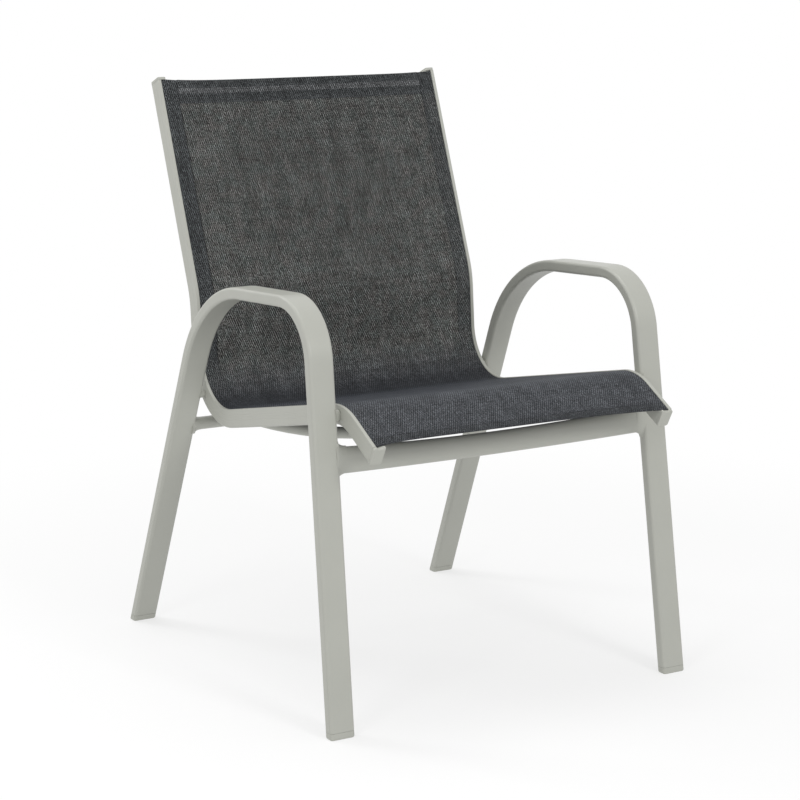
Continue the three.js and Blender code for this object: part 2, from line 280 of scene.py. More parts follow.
def bow(middle, half, sag, least_steps=1):
    """A level bend across the chair through this lowest point, that rises by this sag on both sides."""
    radius = (half ** 2 + sag ** 2) / (2 * sag)
    slope = math.asin(half / radius)
    arriving = ACROSS * math.cos(slope) - UP * math.sin(slope)
    leaving = ACROSS * math.cos(slope) + UP * math.sin(slope)
    return Bend(middle - ACROSS * half + UP * sag, arriving, leaving, radius, least_steps=least_steps)


class BentLine:
    """Straight runs through these corners, joined by bends of these radii."""

    def __init__(self, corners, radii=(), step=bend_step):
        ways = [(b - a).normalized() for a, b in zip(corners, corners[1:])]
        self.parts = []
        start = corners[0]
        for corner, radius, arriving, leaving in zip(corners[1:], radii, ways, ways[1:]):
            setback = radius * math.tan(arriving.angle(leaving) / 2)
            end = corner - arriving * setback
            self.parts.append(Run(start, arriving, (end - start).length))
            self.parts.append(Bend(end, arriving, leaving, radius, step))
            start = corner + leaving * setback
        self.parts.append(Run(start, ways[-1], (corners[-1] - start).length))
        self.length = sum(part.length for part in self.parts)

    def at(self, distance):
        """The point and the tangent at this distance from the start. Both ends run straight on."""
        for part in self.parts[:-1]:
            if distance < part.length:
                return part.at(distance)
            distance -= part.length
        return self.parts[-1].at(distance)

    def marks(self, run_step):
        """Distances from the start, close together in the bends and at most run_step apart elsewhere."""
        marks, passed = [], 0
        for part in self.parts:
            marks += [passed + mark for mark in part.marks(run_step)]
            passed += part.length
        return marks + [self.length]

    def draw(self, bm, rim):
        for part in self.parts:
            rim = part.draw(bm, rim)
        return rim


# Outlines and how they are placed, closed and cut

def outline(bm, corners, origin, right, up):
    """A closed outline. Each corner is its place to the right and up, and the radius of its round."""
    verts = [bm.verts.new(origin + right * x + up * y) for x, y, _ in corners]
    for pair in zip(verts, verts[1:] + verts[:1]):
        bm.edges.new(pair)
    for radius in sorted({radius for _, _, radius in corners if radius}):
        rounded = [v for v, corner in zip(verts, corners) if corner[2] == radius]
        bmesh.ops.bevel(
            bm, geom=rounded, affect="VERTICES", offset=radius, offset_type="OFFSET",
            segments=corner_steps, profile=0.5, material=-1, clamp_overlap=False,
        )
    return list(bm.edges)


def oval_outline(bm, width, height, origin, right, up):
    """A round or oval outline."""
    turned = Matrix((right, up, right.cross(up))).transposed().to_4x4()
    size = Matrix.Diagonal((width / 2, height / 2, 1, 1))
    bmesh.ops.create_circle(
        bm, segments=pipe_sides, radius=1, matrix=Matrix.Translation(origin) @ turned @ size,
    )
    return list(bm.edges)


def rounded_box(width, height, radius):
    """The corners of a rectangle with round corners."""
    halves = ((1, 1), (-1, 1), (-1, -1), (1, -1))
    return [(i * width / 2, j * height / 2, radius) for i, j in halves]


def close(bm, *rims):
    for rim in rims:
        bmesh.ops.edgeloop_fill(bm, edges=rim)


def round_over(bm, rim, radius):
    """Rounds a rim of a closed shape."""
    bmesh.ops.recalc_face_normals(bm, faces=bm.faces)
    bmesh.ops.bevel(
        bm, geom=rim, affect="EDGES", offset=radius, offset_type="OFFSET",
        segments=corner_steps, profile=0.5, material=-1,
    )


def cut(bm, place, normal, closed=True):
    """Takes away what lies beyond a plane, on the side that its normal points to."""
    everything = bm.verts[:] + bm.edges[:] + bm.faces[:]
    made = bmesh.ops.bisect_plane(
        bm, geom=everything, plane_co=place, plane_no=normal, clear_outer=True, dist=touching,
    )["geom_cut"]
    rim = only(BMEdge, made)
    if closed:
        close(bm, rim)
    return rim


def lean(bm, side):
    """Leans a shape made on the middle plane as the legs lean, and moves it to its side frame."""
    sign = SIDES[side]
    leant = Matrix.Identity(4)
    leant[0][2] = -sign * splay
    leant[0][3] = sign * foot_middle
    bmesh.ops.transform(bm, matrix=leant, verts=bm.verts)


def to_side(bm, side):
    """Leaves a shape made for the right side as it is, or mirrors it to the left."""
    bmesh.ops.scale(bm, vec=(SIDES[side], 1, 1), verts=bm.verts)


def mesh_of(name, bm):
    mesh = bpy.data.meshes.new(name)
    bm.to_mesh(mesh)
    bm.free()
    return mesh


def placed(name, data):
    made = bpy.data.objects.new(name, data)
    bpy.context.scene.collection.objects.link(made)
    return made


def piece(name, bm, material, nodes=(), sharp_from=35):
    """Finishes a mesh as one piece of the chair, which stands for these nodes of the frame. Its edges are
    sharp where they are open or turn by this many degrees."""
    bmesh.ops.remove_doubles(bm, verts=bm.verts, dist=touching)
    bmesh.ops.recalc_face_normals(bm, faces=bm.faces)
    for face in bm.faces:
        face.smooth = True
    for edge in bm.edges:
        edge.smooth = len(edge.link_faces) == 2 and edge.calc_face_angle() < math.radians(sharp_from)
    made = placed(name, mesh_of(name, bm))
    made.data.materials.append(material)
    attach(made, "root")
    if nodes:
        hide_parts(*nodes)
    return made


def even_faces(made):
    """Keeps the light even over flat faces, so that only the round corners between them turn it."""
    even = made.modifiers.new("even_faces", "WEIGHTED_NORMAL")
    even.keep_sharp = True
    return made


# Materials

def as_seen(red, green, blue):
    """A colour by its display values from 0 to 255."""
    def linear(value):
        share = value / 255
        return share / 12.92 if share <= 0.04045 else ((share + 0.055) / 1.055) ** 2.4
    return (linear(red), linear(green), linear(blue), 1)


class Nodes:
    """Short ways to build the nodes of a material or a room."""

    def __init__(self, tree):
        self.tree = tree

    def feed(self, socket, value):
        if isinstance(value, bpy.types.NodeSocket):
            self.tree.links.new(value, socket)
        else:
            socket.default_value = value

    def node(self, kind, inputs=None, **settings):
        made = self.tree.nodes.new("ShaderNode" + kind)
        for name, value in settings.items():
            setattr(made, name, value)
        for name, value in (inputs or {}).items():
            self.feed(made.inputs[name], value)
        return made

    def math(self, operation, *values, clamped=False):
        made = self.node("Math", operation=operation, use_clamp=clamped)
        for socket, value in zip(made.inputs, values):
            self.feed(socket, value)
        return made.outputs[0]

    def times(self, first, *others):
        for other in others:
            first = self.math("MULTIPLY", first, other)
        return first

    def most(self, first, *others):
        for other in others:
            first = self.math("MAXIMUM", first, other)
        return first

    def place(self):
        return self.node("TexCoord").outputs["Object"]

    def stretched(self, place, *scale):
        """A place whose pattern is drawn out where a scale is below 1."""
        return self.node("Mapping", {"Vector": place, "Scale": scale}).outputs["Vector"]

    def clouds(self, place, lumps, detail=2):
        """Smooth noise from 0 to 1, with this many lumps in a metre."""
        return self.node("TexNoise", {"Vector": place, "Scale": lumps, "Detail": detail}).outputs["Fac"]

    def spread(self, value, low, high, start=0.0, end=1.0, **settings):
        """A value from start to end carried over to the range from low to high."""
        inputs = {"Value": value, "From Min": start, "From Max": end, "To Min": low, "To Max": high}
        return self.node("MapRange", inputs, **settings).outputs["Result"]

    def random(self, **place):
        """A random value from 0 to 1 for each whole number, or for each pair of them."""
        if len(place) == 1:
            return self.node("TexWhiteNoise", {"W": place["X"]}, noise_dimensions="1D").outputs["Value"]
        cell = self.node("CombineXYZ", place).outputs[0]
        return self.node("TexWhiteNoise", {"Vector": cell}, noise_dimensions="2D").outputs["Value"]

    def blend(self, share, first, second, mode="MIX"):
        made = self.node("Mix", data_type="RGBA", blend_type=mode)
        for name, value in (("Factor_Float", share), ("A_Color", first), ("B_Color", second)):
            self.feed(next(socket for socket in made.inputs if socket.identifier == name), value)
        return next(socket for socket in made.outputs if socket.identifier == "Result_Color")

    def bump(self, height, distance, strength=1.0, under=None):
        inputs = {"Height": height, "Distance": distance, "Strength": strength}
        if under is not None:
            inputs["Normal"] = under
        return self.node("Bump", inputs).outputs["Normal"]


class Finish(Nodes):
    """A material and its shader."""

    def __init__(self, name, **values):
        self.material = bpy.data.materials.new(name)
        self.material.use_nodes = True
        super().__init__(self.material.node_tree)
        self.shader = self.tree.nodes["Principled BSDF"]
        self.shade(**values)

    def shade(self, **values):
        """Sets or feeds sockets of the shader, named with _ for a space."""
        for name, value in values.items():
            self.feed(self.shader.inputs[name.replace("_", " ").title().replace("Ior", "IOR")], value)


light_grey = as_seen(181, 182, 174)
dark_grey = as_seen(174, 175, 167)
weld_ripple = 0.0004


def powder_coat(name, ripple=0.0):
    """Pale warm grey powder coat: a fine orange peel, faint clouding and slightly uneven gloss. Over a weld
    it shows the ripple of the run."""
    finish = Finish(name, specular_ior_level=0.5)
    place = finish.place()
    colour = finish.blend(finish.clouds(place, 14, detail=3), light_grey, dark_grey)
    speckle = finish.spread(finish.clouds(place, 1400, detail=1), 0.96, 1.04)
    finish.shade(base_color=finish.blend(1.0, colour, speckle, mode="MULTIPLY"))
    finish.shade(roughness=finish.spread(finish.clouds(place, 30, detail=4), 0.30, 0.44))
    peel = finish.bump(finish.clouds(place, 650, detail=2), 0.00012, strength=0.5)
    if ripple:
        peel = finish.bump(finish.clouds(place, 330, detail=1), ripple, under=peel)
    finish.shade(normal=peel)
    return finish.material


def moulded_plastic(name):
    """The caps' and glides' plastic: the frame's grey, duller, with a fine spark-eroded grain."""
    finish = Finish(name, specular_ior_level=0.4)
    place = finish.place()
    finish.shade(base_color=finish.blend(finish.clouds(place, 40, detail=3), light_grey, dark_grey))
    finish.shade(roughness=finish.spread(finish.clouds(place, 900, detail=2), 0.50, 0.62))
    finish.shade(normal=finish.bump(finish.clouds(place, 1800, detail=2), 0.00006, strength=0.6))
    return finish.material


def extruded_rod(name):
    """Black plastic rod with faint lines along its length."""
    finish = Finish(name, specular_ior_level=0.4)
    lines = finish.clouds(finish.stretched(finish.place(), 1, 0.02, 0.02), 1500)
    finish.shade(base_color=finish.blend(lines, as_seen(38, 39, 41), as_seen(47, 48, 50)))
    finish.shade(roughness=finish.spread(lines, 0.42, 0.58))
    return finish.material


def sewing_thread(name):
    """Charcoal polyester thread."""
    finish = Finish(name, sheen_weight=0.2, sheen_roughness=0.5)
    fibres = finish.clouds(finish.place(), 2600, detail=3)
    finish.shade(base_color=finish.blend(fibres, as_seen(36, 37, 41), as_seen(58, 59, 64)))
    finish.shade(roughness=finish.spread(fibres, 0.6, 0.8))
    finish.shade(normal=finish.bump(fibres, 0.0001))
    return finish.material


# Yarns of the cloth, and the holes between them
warp_pitch = 0.0017
weft_pitch = 0.0034
yarn_wander = 1.2
yarn_flatness = 0.96
yarn_lift = 0.3
yarn_relief = 0.00025
hole_start = 0.78
hole_sharpness = 10

# Tones of the cloth as shares of its colour. Pairs go from dark to light.
speck_tones = (0.45, 1.55)
warp_tones = (0.88, 1.12)
weft_tones = (0.9, 1.1)
cloud_tones = (0.48, 1.52)
slub_tones = (0.75, 1.25)
streak_tones = (0.8, 2.0)
weft_slub_gain = 2.2
sides_gain = 3.0
# Painted shade in the crease and on the flat of the seat, and painted light low and high on the back
crease_shade_tone = 0.6
low_back_light_tone = 1.40
upper_back_light_tone = 1.12
seat_shade_tone = 0.68
front_tone = 0.88
side_line_tone = 0.65
front_line_tone = 0.75
hem_line_width = 0.0012

# Tones between the yarns and on top of them: on the seat, and on the back
gap_tones = (0.15, 0.0)
top_tones = (1.68, 1.82)
gap_to_top = (-0.417, 0.2)

# Where the tone changes, from the front fold
front_reach = (0.01, 0.05)
# Where the painted shade on the flat of the seat begins
seat_shade_reach = (0.10, 0.17)

# Where the tone changes, from the crease: painted shade in the crease and on the seat, painted sheen on the
# seat, painted light on the back
crease_shade_reach_ahead = (-0.062, -0.045)
crease_shade_reach_behind = (-0.045, 0.025)
seat_shade_end_reach = (-0.02, 0.02)
seat_sheen_reach = (-0.02, 0.05)
back_reach = (0, 0.06)
low_back_light_reach = (-0.02, 0.06)
upper_back_light_reach = (0.12, 0.25)

# Colours of the cloth, and how strongly they show
cool_charcoal = as_seen(68, 71, 69)
warm_charcoal = as_seen(72, 70, 68)
warp_charcoal = as_seen(67, 69, 70)
# Painted sheen: the seat's bluer charcoal
seat_sheen_charcoal = as_seen(68, 70, 74)
# Darker hems: partly their layers, partly painted shade
hem_and_shade_charcoal = as_seen(52, 54, 55)
stripe_charcoal = as_seen(61, 62, 63)
warp_share = 0.3
seat_sheen_share = 0.85
# Less painted shade on the right side hem
far_hem_shade_share = 0.65
front_hem_share = 0.6


class MeshCloth(Finish):
    """Open plain weave of coated charcoal yarns. Light shows through its holes, but not through the hems,
    which are painted darker for it, as painted shade, where they lie against the light, on the back."""

    def __init__(self, name, cloth_length, crease_place):
        super().__init__(name, specular_ior_level=0.12, sheen_weight=0.03, sheen_roughness=0.5,
                         sheen_tint=(0.62, 0.74, 1.0, 1))
        self.cloth_length, self.crease_place = cloth_length, crease_place
        self.flat = self.node("UVMap", uv_map="flat_cut").outputs["UV"]
        split = self.node("SeparateXYZ", {"Vector": self.flat}).outputs
        self.across, self.along = split["X"], split["Y"]
        self.on_back = self.past_crease(back_reach, 0.1, 1)
        self.find_yarns()
        self.find_hems()
        tone = self.times(self.yarn_tone(), self.place_tone(), self.cloud_tone(), self.hem_line_tone())
        self.shade(base_color=self.blend(1.0, self.colour(), self.streaked(tone), mode="MULTIPLY"))
        self.shade(alpha=self.cover(), roughness=self.spread(self.speck, 0.60, 0.75))
        self.shade(normal=self.bump(self.height, yarn_relief, strength=0.8))

    def past_crease(self, reach, low, high):
        """A value that goes from low to high over this reach, which counts from the crease."""
        return self.spread(self.along, low, high, *(self.crease_place + place for place in reach))

    def seat_to_back(self, seat, back):
        return self.math("MULTIPLY_ADD", self.on_back, back - seat, seat)

    def above_zero(self, value):
        return self.math("GREATER_THAN", value, 0)

    def off_yarn(self, count):
        """0 on the middle of a yarn and 1 in the gap beside it."""
        return self.times(self.math("ABSOLUTE", self.math("SUBTRACT", self.math("FRACT", count), 0.5)), 2)

    def yarn_height(self, off, lift):
        """The height of a round yarn, with its lift where it passes over the others."""
        fall = self.times(self.math("POWER", off, 2), yarn_flatness)
        return self.math("MULTIPLY_ADD", self.over, lift, self.math("SQRT", self.math("SUBTRACT", 1, fall)))

    def find_yarns(self):
        """Counts the yarns, which wander a little, and finds which of them lies on top at each point."""
        wander = self.spread(self.clouds(self.flat, 70), -yarn_wander, yarn_wander)
        self.warp = self.math("ADD", self.math("DIVIDE", self.across, warp_pitch), wander)
        self.weft = self.math("ADD", self.math("DIVIDE", self.along, weft_pitch), wander)
        warp_off, weft_off = self.off_yarn(self.warp), self.off_yarn(self.weft)
        self.gap = self.times(warp_off, weft_off)
        self.over = self.times(*(self.math("SINE", self.times(count, math.pi))
                                 for count in (self.warp, self.weft)))
        warp_height = self.yarn_height(warp_off, yarn_lift)
        weft_height = self.yarn_height(weft_off, -yarn_lift)
        self.height = self.most(warp_height, weft_height)
        self.warp_shows = self.math("GREATER_THAN", warp_height, weft_height)
        half_wefts = self.math("FLOOR", self.times(self.weft, 2))
        self.speck = self.random(X=self.math("FLOOR", self.warp), Y=half_wefts)

    def find_hems(self):
        """How far each point lies past the edge of each hem, and how much darker that hem is painted:
        partly for its layers, partly as painted shade on the side hems on the back.
        """
        self.side_edge = self.math("SUBTRACT", self.math("ABSOLUTE", self.across), side_hem_line)
        top_edge = self.math("SUBTRACT", self.along, self.cloth_length - top_hem)
        self.front_edge = self.math("SUBTRACT", front_hem, self.along)
        self.hem = self.above_zero(self.most(self.side_edge, top_edge, self.front_edge))
        # Painted shade on the side hems on the back, less on the right one
        side_hem_shade = self.times(self.above_zero(self.side_edge), self.on_back,
                               self.spread(self.across, 1, far_hem_shade_share, start=-0.1, end=0.1))
        front_dark = self.spread(self.front_edge, 0, front_hem_share, end=0.001)
        self.hem_dark_and_shade = self.most(side_hem_shade, self.above_zero(top_edge), front_dark)
        stripe_middle = self.cloth_length - top_hem_fold - top_hem_stripe / 2
        stripe = self.math("COMPARE", self.along, stripe_middle, top_hem_stripe / 2)
        self.stripe = self.times(stripe, self.math("LESS_THAN", self.side_edge, 0))

    def yarn_tone(self):
        """Each crossing and each yarn has its own tone, and the gaps beside the yarns are dark."""
        gap_tone, top_tone = self.seat_to_back(*gap_tones), self.seat_to_back(*top_tones)
        return self.times(
            self.spread(self.speck, *speck_tones),
            self.spread(self.random(X=self.math("FLOOR", self.warp)), *warp_tones),
            self.spread(self.random(X=self.math("FLOOR", self.weft)), *weft_tones),
            self.spread(self.over, gap_tone, top_tone, *gap_to_top),
        )

    def place_tone(self):
        """Painted shade on the flat of the seat and in the crease, painted light low on the back, and
        lighter at its sides.
        """
        # Painted shade in the crease
        crease_shade = self.most(self.past_crease(crease_shade_reach_ahead, 1, crease_shade_tone),
                              self.past_crease(crease_shade_reach_behind, crease_shade_tone, 1))
        # Painted light low on the back, fading to a weaker painted light higher up
        low_back_light = self.math("MINIMUM", self.past_crease(low_back_light_reach, 1, low_back_light_tone),
                         self.past_crease(upper_back_light_reach, low_back_light_tone, upper_back_light_tone))
        # Painted shade on the flat of the seat
        seat = self.most(self.spread(self.along, 1, seat_shade_tone, *seat_shade_reach),
                         self.past_crease(seat_shade_end_reach, seat_shade_tone, 1))
        front = self.spread(self.along, front_tone, 1, *front_reach)
        sides = self.times(self.math("POWER", self.across, 2), self.on_back)
        return self.times(crease_shade, low_back_light, seat, front, self.math("MULTIPLY_ADD", sides, sides_gain, 1))

    def cloud_tone(self):
        """Broad clouds, and the thick and thin spots of the warp and, on the back, of the weft."""
        clouds = self.clouds(self.stretched(self.flat, 1, 0.45, 1), 36, detail=3)
        slubs = self.clouds(self.stretched(self.flat, 1, 0.2, 1), 300, detail=1)
        weft_slubs = self.clouds(self.stretched(self.flat, 0.3, 1, 1), 700, detail=1)
        weft_slubs = self.times(self.math("SUBTRACT", weft_slubs, 0.5), self.on_back)
        return self.times(self.spread(clouds, *cloud_tones), self.spread(slubs, *slub_tones),
                          self.math("MULTIPLY_ADD", weft_slubs, weft_slub_gain, 1))

    def hem_line_tone(self):
        """Darker lines where the side hems and the front hem end."""
        side_line = self.math("COMPARE", self.side_edge, 0, hem_line_width)
        front_line = self.math("COMPARE", self.front_edge, 0, hem_line_width)
        return self.times(self.spread(side_line, 1, self.seat_to_back(1, side_line_tone)),
                          self.spread(front_line, 1, front_line_tone))

    def streaked(self, tone):
        """The tone with light streaks along the stripe in the top hem."""
        streaks = self.clouds(self.stretched(self.flat, 0.02, 1, 1), 600, detail=0)
        more = self.math("SUBTRACT", self.spread(streaks, *streak_tones), 1)
        return self.math("MULTIPLY_ADD", self.stripe, self.times(tone, more), tone)

    def colour(self):
        """Charcoal in warm and cool patches, painted bluer on the seat as a painted sheen, and darker in
        the hems, partly with painted shade.
        """
        warmth = self.spread(self.clouds(self.flat, 55, detail=3), 0, 1, start=0.35, end=0.65)
        colour = self.blend(warmth, cool_charcoal, warm_charcoal)
        colour = self.blend(self.times(self.warp_shows, warp_share), colour, warp_charcoal)
        # Painted sheen: bluer on the seat
        colour = self.blend(self.past_crease(seat_sheen_reach, seat_sheen_share, 0), colour, seat_sheen_charcoal)
        colour = self.blend(self.hem_dark_and_shade, colour, hem_and_shade_charcoal)
        return self.blend(self.stripe, colour, stripe_charcoal)

    def cover(self):
        """1 on the yarns and 0 in the holes between them, which the layers of the hems close."""
        deep = self.math("SUBTRACT", self.gap, hole_start)
        hole = self.math("MULTIPLY", deep, hole_sharpness, clamped=True)
        return self.math("SUBTRACT", 1, self.times(hole, self.math("SUBTRACT", 1, self.hem)))


# Side frames and glides

def tube_outline(bm, start, tangent):
    """The section of the flat tube, square to its run."""
    corners = rounded_box(tube_width, tube_thickness, tube_corner)
    return outline(bm, corners, start, ACROSS, face_normal(tangent))


def side_tube(side):
    """Front leg, armrest and rear leg, bent from one tube and cut level above the glides."""
    bm = bmesh.new()
    ends = [on_run(front_foot, front_knee, -glide_height), on_run(rear_foot, rear_knee, -glide_height)]
    line = BentLine([ends[0], front_knee, rear_knee, ends[1]], [front_knee_radius, rear_knee_radius])
    line.draw(bm, tube_outline(bm, *line.at(0)))
    lean(bm, side)
    cut(bm, UP * glide_height, -UP, closed=False)
    made = piece(f"{side}_side_tube", bm, frame_finish, [f"side_frame_{side}"])
    wall = made.modifiers.new("wall", "SOLIDIFY")
    wall.thickness = tube_wall
    wall.offset = -1
    return even_faces(made)


def foot_glide(end, side, foot, knee):
    """A rim that carries the tube on the ground, with a round bottom edge, and a plug inside the tube."""
    bm = bmesh.new()
    line = BentLine([on_run(foot, knee, -glide_height), on_run(foot, knee, 2 * glide_height)])
    line.draw(bm, tube_outline(bm, *line.at(0)))
    lean(bm, side)
    bottom = cut(bm, Vector(), -UP)
    top = cut(bm, UP * (glide_height - glide_seam), UP)
    round_over(bm, bottom, glide_bottom_round)
    round_over(bm, top, glide_top_round)
    lid = max(bm.faces, key=lambda face: face.calc_center_median().z)
    bmesh.ops.inset_region(bm, faces=[lid], thickness=tube_wall + glide_seam - glide_top_round)
    raised = bmesh.ops.extrude_face_region(bm, geom=[lid])["geom"]
    way = (knee - foot).normalized() - ACROSS * SIDES[side] * splay
    bmesh.ops.translate(bm, verts=only(BMVert, raised), vec=way * glide_plug)
    node = f"foot_glide_{end}_{side}"
    return even_faces(piece(f"{end}_{side}_glide", bm, plastic_finish, [node]))


# Cross rails, spacers and stretcher, with their welds

def flared(bm, rim, origin, way, stations):
    """Draws a rim on through stations, each its distance along the way and its two scales."""
    across = UP.cross(way).normalized()
    turned = Matrix((across, way.cross(across), way)).to_4x4()
    passed, width, height = stations[0]
    for distance, new_width, new_height in stations[1:]:
        rim = drawn_on(bm, rim, way * (distance - passed))
        local = turned @ Matrix.Translation(-origin - way * distance)
        vec = (new_width / width, new_height / height, 1)
        bmesh.ops.scale(bm, vec=vec, space=local, verts=verts_of(rim))
        passed, width, height = distance, new_width, new_height
    return rim


# Runs of weld: how long each is along its tube, and how far it spreads on the face across and up
weld_steps = 7
weld_skin = 0.00015
weld_bite = 0.0045
front_weld_length = 0.0135
front_weld_reach = (0.0004, 0.0095)
front_weld_lower = 0.0003
front_weld_rise_share = 0.85
rear_weld_length = 0.0105
rear_weld_reach = (0.0002, 0.0055)
stretcher_weld_length = 0.004
stretcher_weld_reach = (0.002, 0.002)


def weld_bead(name, width, height, joint, way, length, reach):
    """A hollow round run of weld at the end of a round or oval tube. The joint is where the tube's middle
    meets a face, way points into that face, and reach is how far the weld spreads there across and up."""
    bm = bmesh.new()
    across = UP.cross(way).normalized()
    width, height = width + 2 * weld_skin, height + 2 * weld_skin
    stations = [(-length - weld_skin, 1 - 4 * weld_skin / width, 1 - 4 * weld_skin / height)]
    for step in range(weld_steps + 1):
        turn = QUARTER_TURN * step / weld_steps
        spread = 1 - math.cos(turn)
        stations.append((-length * (1 - math.sin(turn)), 1 + 2 * reach[0] * spread / width,
                         1 + 2 * reach[1] * spread / height))
    stations.append((weld_bite, stations[-1][1], stations[-1][2]))
    back, wide, tall = stations[0]
    first = oval_outline(bm, width * wide, height * tall, joint + way * back, across, way.cross(across))
    close(bm, first, flared(bm, first, joint, way, stations))
    return piece(name, bm, weld_finish, sharp_from=50)


def front_cross_rail():
    """A flat oval tube, taller towards its ends, cut to the lean of the legs and welded to them."""
    bm = bmesh.new()
    middle = middle_of("front_cross_rail") + UP * (front_rail_raise - front_rail_bow)
    line = bow(middle, foot_middle, front_rail_bow, front_rail_steps)
    point, tangent = line.at(0)
    line.draw(bm, oval_outline(bm, front_rail_deep, front_rail_tall, point, BACK, tangent.cross(BACK)))
    for vert in bm.verts:
        share = abs(vert.co.x) / foot_middle
        low = middle.z + front_rail_bow * share ** 2 - front_rail_tall / 2
        vert.co.z += (vert.co.z - low) / front_rail_tall * front_rail_rise * share ** 2
        vert.co.z += vert.co.x * front_rail_tilt
    for side, sign in SIDES.items():
        cut(bm, ACROSS * sign * leg_inner(0), ACROSS * sign + UP * splay)
        tall = front_rail_tall + front_rail_rise * front_weld_rise_share
        height = middle.z + front_rail_bow + (tall - front_rail_tall) / 2
        height += sign * leg_inner(height) * front_rail_tilt
        joint = Vector((sign * leg_inner(height), middle.y, height - front_weld_lower))
        weld_bead(f"front_rail_weld_{side}", front_rail_deep, tall, joint, ACROSS * sign,
                  front_weld_length, front_weld_reach)
    return piece("front_rail", bm, frame_finish, ["front_cross_rail"])


def rear_cross_rail():
    """A round tube, cut to the lean of the legs and welded to them."""
    bm = bmesh.new()
    middle = middle_of("rear_cross_rail") - UP * rear_rail_lower
    rim = oval_outline(bm, rear_rail_diameter, rear_rail_diameter, middle - ACROSS * foot_middle, BACK, UP)
    drawn_on(bm, rim, ACROSS * 2 * foot_middle)
    for side, sign in SIDES.items():
        cut(bm, ACROSS * sign * leg_inner(0), ACROSS * sign + UP * splay)
        joint = Vector((sign * leg_inner(middle.z), middle.y, middle.z))
        weld_bead(f"rear_rail_weld_{side}", rear_rail_diameter, rear_rail_diameter, joint, ACROSS * sign,
                  rear_weld_length, rear_weld_reach)
    return piece("rear_rail", bm, frame_finish, ["rear_cross_rail"])


# How far a spacer goes into the rail and into the leg, and its size at shares of its length from the rail
spacer_rail_bite = 0.0012
spacer_leg_bite = 0.0036
spacer_stations = ((0, 0.8), (0.22, 0.8), (0.34, 1), (0.7, 1), (0.82, 1.08), (0.92, 1.2), (1, 1.45))


def weld_spacer(end, side):
    """A short block between a sling rail and a leg, with a neck at the rail and its weld at the leg."""
    bm = bmesh.new()
    sign = SIDES[side]
    middle = middle_of(f"weld_spacer_{end}_{side}") - UP * spacer_lower[end]
    inner, outer = rail_outer - spacer_rail_bite, leg_inner(middle.z) + spacer_leg_bite
    start = Vector((sign * inner, middle.y, middle.z))
    corners = rounded_box(spacer_depth, spacer_height[end], spacer_corner)
    rim = outline(bm, corners, start, BACK, UP)
    stations = [(share * (outer - inner), size, size) for share, size in spacer_stations]
    scale = Matrix.Translation(-start)
    bmesh.ops.scale(bm, vec=(1, stations[0][1], stations[0][2]), space=scale, verts=verts_of(rim))
    close(bm, rim, flared(bm, rim, start, ACROSS * sign, stations))
    node = f"weld_spacer_{end}_{side}"
    return piece(f"{end}_{side}_spacer", bm, weld_finish, [node], sharp_from=50)


def bowed_stretcher():
    """A round tube bent down in one bow, welded between the inner faces of the sling rails."""
    bm = bmesh.new()
    place = crease + seat_forward * stretcher_run + face_normal(seat_forward) * stretcher_drop
    line = bow(place - UP * stretcher_sag, rail_inner + weld_skin, stretcher_sag)
    point, tangent = line.at(0)
    first = oval_outline(bm, stretcher_diameter, stretcher_diameter, point, BACK, tangent.cross(BACK))
    close(bm, first, line.draw(bm, first))
    for side, sign in SIDES.items():
        way = Vector((sign * tangent.x, 0, -tangent.z))
        joint = place + ACROSS * sign * rail_inner
        weld_bead(f"stretcher_weld_{side}", stretcher_diameter, stretcher_diameter, joint, way,
                  stretcher_weld_length, stretcher_weld_reach)
    return piece("stretcher", bm, frame_finish, ["seat_stretcher"])


# Sling rails and their caps

crease = front_foot + crease_offset
seat_forward = leaning(seat_rise - QUARTER_TURN)
seat_front = crease + seat_forward * seat_length
rail_front = seat_front + leaning(-seat_front_drop - QUARTER_TURN) * seat_front_length
lumbar = crease + leaning(lumbar_lean) * lumbar_length
rail_top = lumbar + leaning(back_lean) * back_length
face_line = BentLine([rail_front, seat_front, crease, lumbar, rail_top],
                     [seat_front_radius, crease_radius, lumbar_radius])
rail_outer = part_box("sling_rail_right")[1].x
rail_inner = rail_outer - rail_width
slot_centre = rail_outer - lip_width - slot_width / 2
channel_top = -inner_lip_step - lip_thickness
channel_middle = channel_top - channel_radius


def rail_corners():
    """The section of a sling rail: x runs inwards from its outer face, y out of its face."""
    slot_far = lip_width + slot_width
    middle = lip_width + slot_width / 2
    near, far = middle - channel_radius, middle + channel_radius
    floor = channel_top - 2 * channel_radius
    corners = [
        (0, 0, lip_round), (lip_width, 0, lip_round), (lip_width, channel_top, slot_edge),
        (near, channel_top, channel_corner), (near, floor, channel_corner),
        (far, floor, channel_corner), (far, channel_top, channel_corner),
        (slot_far, channel_top, slot_edge), (slot_far, -inner_lip_step, lip_round),
        (rail_width, -inner_lip_step, lip_round),
        (rail_width, -rail_depth, rail_corner), (0, -rail_depth, rail_corner),
    ]
    for height in reversed(groove_heights):
        corners += [(0, height - groove_half_width, slot_edge), (groove_depth, height, slot_edge),
                    (0, height + groove_half_width, slot_edge)]
    return corners


def front_cap_corners():
    """The outline of a front cap: the rail's own, with a scoop for the cloth and a horn inside it."""
    return [
        (0, 0, rail_corner), (lip_width, 0, lip_round),
        (lip_width + lip_round, -cap_scoop, lip_round),
        (rail_width - cap_horn, -cap_scoop, 2 * lip_round),
        (rail_width - cap_horn_tip, 0, lip_round), (rail_width, 0, lip_round),
        (rail_width, -rail_depth, rail_corner), (0, -rail_depth, rail_corner),
    ]


def top_cap_corners():
    """The outline of a top cap, which is narrower and plain."""
    return [
        (0, 0, 2 * lip_round), (top_cap_width, 0, rail_corner),
        (top_cap_width, -rail_depth, rail_corner), (0, -rail_depth, rail_corner),
    ]


def on_right(corners):
    """A rail's section as it lies on the right rail, in distances from the middle of the chair."""
    return [(rail_outer - x, y, radius) for x, y, radius in corners]


